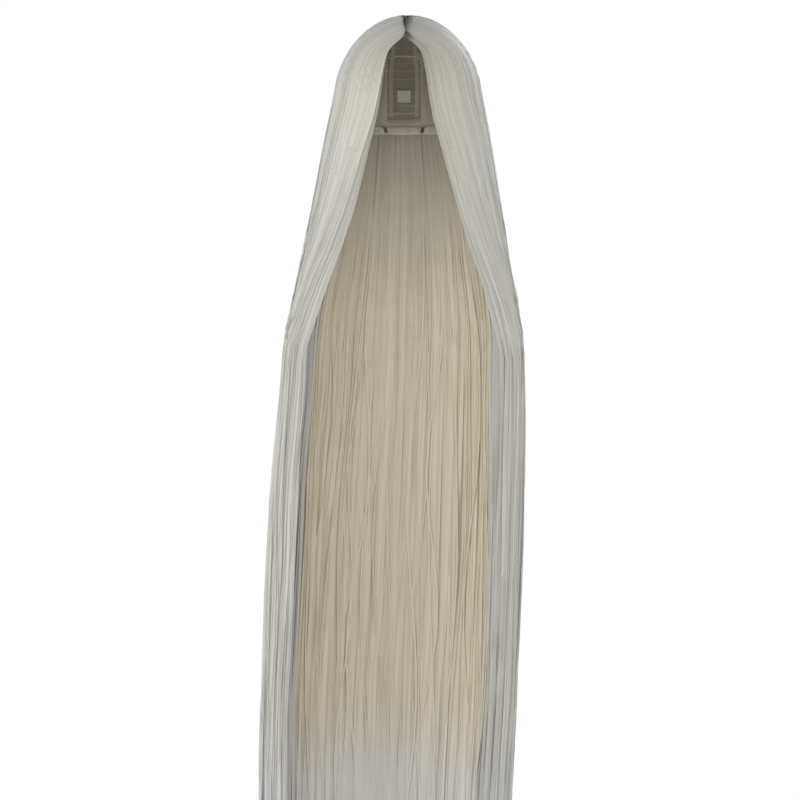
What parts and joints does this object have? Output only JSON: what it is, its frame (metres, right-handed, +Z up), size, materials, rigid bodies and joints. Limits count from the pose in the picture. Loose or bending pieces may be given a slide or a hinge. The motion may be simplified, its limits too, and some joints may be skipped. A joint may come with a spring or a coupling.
{
  "type": "costume wig",
  "caption": "Very long straight costume wig with a centre part: net cap with sewn wefts, ear tabs, elastic nape adjusters, side curtains and a back fall of hair.",
  "frame": {"origin": "inside of the cap's crown, the point that rests on top of the wearer's head", "axes": "+Z up out of the crown, -Y the way the wearer faces, +X the wearer's left"},
  "size_m": [0.3926, 0.2767, 1.4999],
  "materials": {
    "hair": "fine straight heat-resistant synthetic fibre, satin sheen",
    "hair_back": "the same fibre, seen in shade, satin sheen",
    "wefts": "machine-sewn fibre track, triple stitched",
    "net": "open stretch net, matt",
    "tape": "woven polyester ribbon, matt",
    "lining": "brushed soft lining, matt",
    "parting": "fine skin-tone mesh with knotted fibre",
    "elastic": "ribbed elastic, matt",
    "hook_wire": "plated bent wire",
    "stay": "moulded strip, matt",
    "label": "blank woven label, matt"
  },
  "bodies": {
    "cap": {"crown_net": "net", "back_net": "net", "parting_strip": "parting", "front_band": "tape", "forehead_lining": "lining", "nape_band": "tape", "ribbon_tapes": "tape", "care_label": "label", "wefts_hairline": "wefts", "wefts_back": "wefts", "wefts_nape": "wefts", "pocket_tape": "tape", "hair_nape": "hair_back", "side_net_left": "net", "wefts_crown_left": "wefts", "wefts_side_left": "wefts", "strap_sleeve_left": "tape", "hair_front_left": "hair", "hair_side_left": "hair", "hair_back_left": "hair_back", "side_net_right": "net", "wefts_crown_right": "wefts", "wefts_side_right": "wefts", "strap_sleeve_right": "tape", "hair_front_right": "hair", "hair_side_right": "hair", "hair_back_right": "hair_back"},
    "ear_tab_left": {"ear_tab_left": "net", "ear_tab_cover_left": "lining", "ear_tab_stay_left": "stay"},
    "adjuster_left": {"adjuster_strap_left": "elastic", "adjuster_hook_left": "hook_wire"},
    "curtain_left": {"curtain_left": "hair"},
    "ear_tab_right": {"ear_tab_right": "net", "ear_tab_cover_right": "lining", "ear_tab_stay_right": "stay"},
    "adjuster_right": {"adjuster_strap_right": "elastic", "adjuster_hook_right": "hook_wire"},
    "curtain_right": {"curtain_right": "hair"},
    "back_fall": {"back_fall_left": "hair_back", "back_fall_right": "hair_back"}
  },
  "joints": [
    {"name": "ear_tab_left_flex", "type": "hinge", "parent": "cap", "child": "ear_tab_left", "pos_m": [0.0719, -0.0275, -0.1115], "axis": [-0.2381, -0.9713, 0], "range_deg": [-6, 10]},
    {"name": "adjuster_left_slide", "type": "hinge", "parent": "cap", "child": "adjuster_left", "pos_m": [0, 0.02, -0.16], "axis": [0, 0, 1], "range_deg": [0, 20]},
    {"name": "curtain_left_swing", "type": "hinge", "parent": "cap", "child": "curtain_left", "pos_m": [0.146, 0.04, -0.49], "axis": [0, -1, 0], "range_deg": [0, 35]},
    {"name": "ear_tab_right_flex", "type": "hinge", "parent": "cap", "child": "ear_tab_right", "pos_m": [-0.0719, -0.0275, -0.1115], "axis": [-0.2381, 0.9713, 0], "range_deg": [-6, 10]},
    {"name": "adjuster_right_slide", "type": "hinge", "parent": "cap", "child": "adjuster_right", "pos_m": [0, 0.02, -0.16], "axis": [0, 0, -1], "range_deg": [0, 20]},
    {"name": "curtain_right_swing", "type": "hinge", "parent": "cap", "child": "curtain_right", "pos_m": [-0.178, 0.04, -0.49], "axis": [0, 1, 0], "range_deg": [0, 35]},
    {"name": "back_fall_swing", "type": "hinge", "parent": "cap", "child": "back_fall", "pos_m": [0, 0.146, -0.49], "axis": [1, 0, 0], "range_deg": [0, 36]}
  ]
}
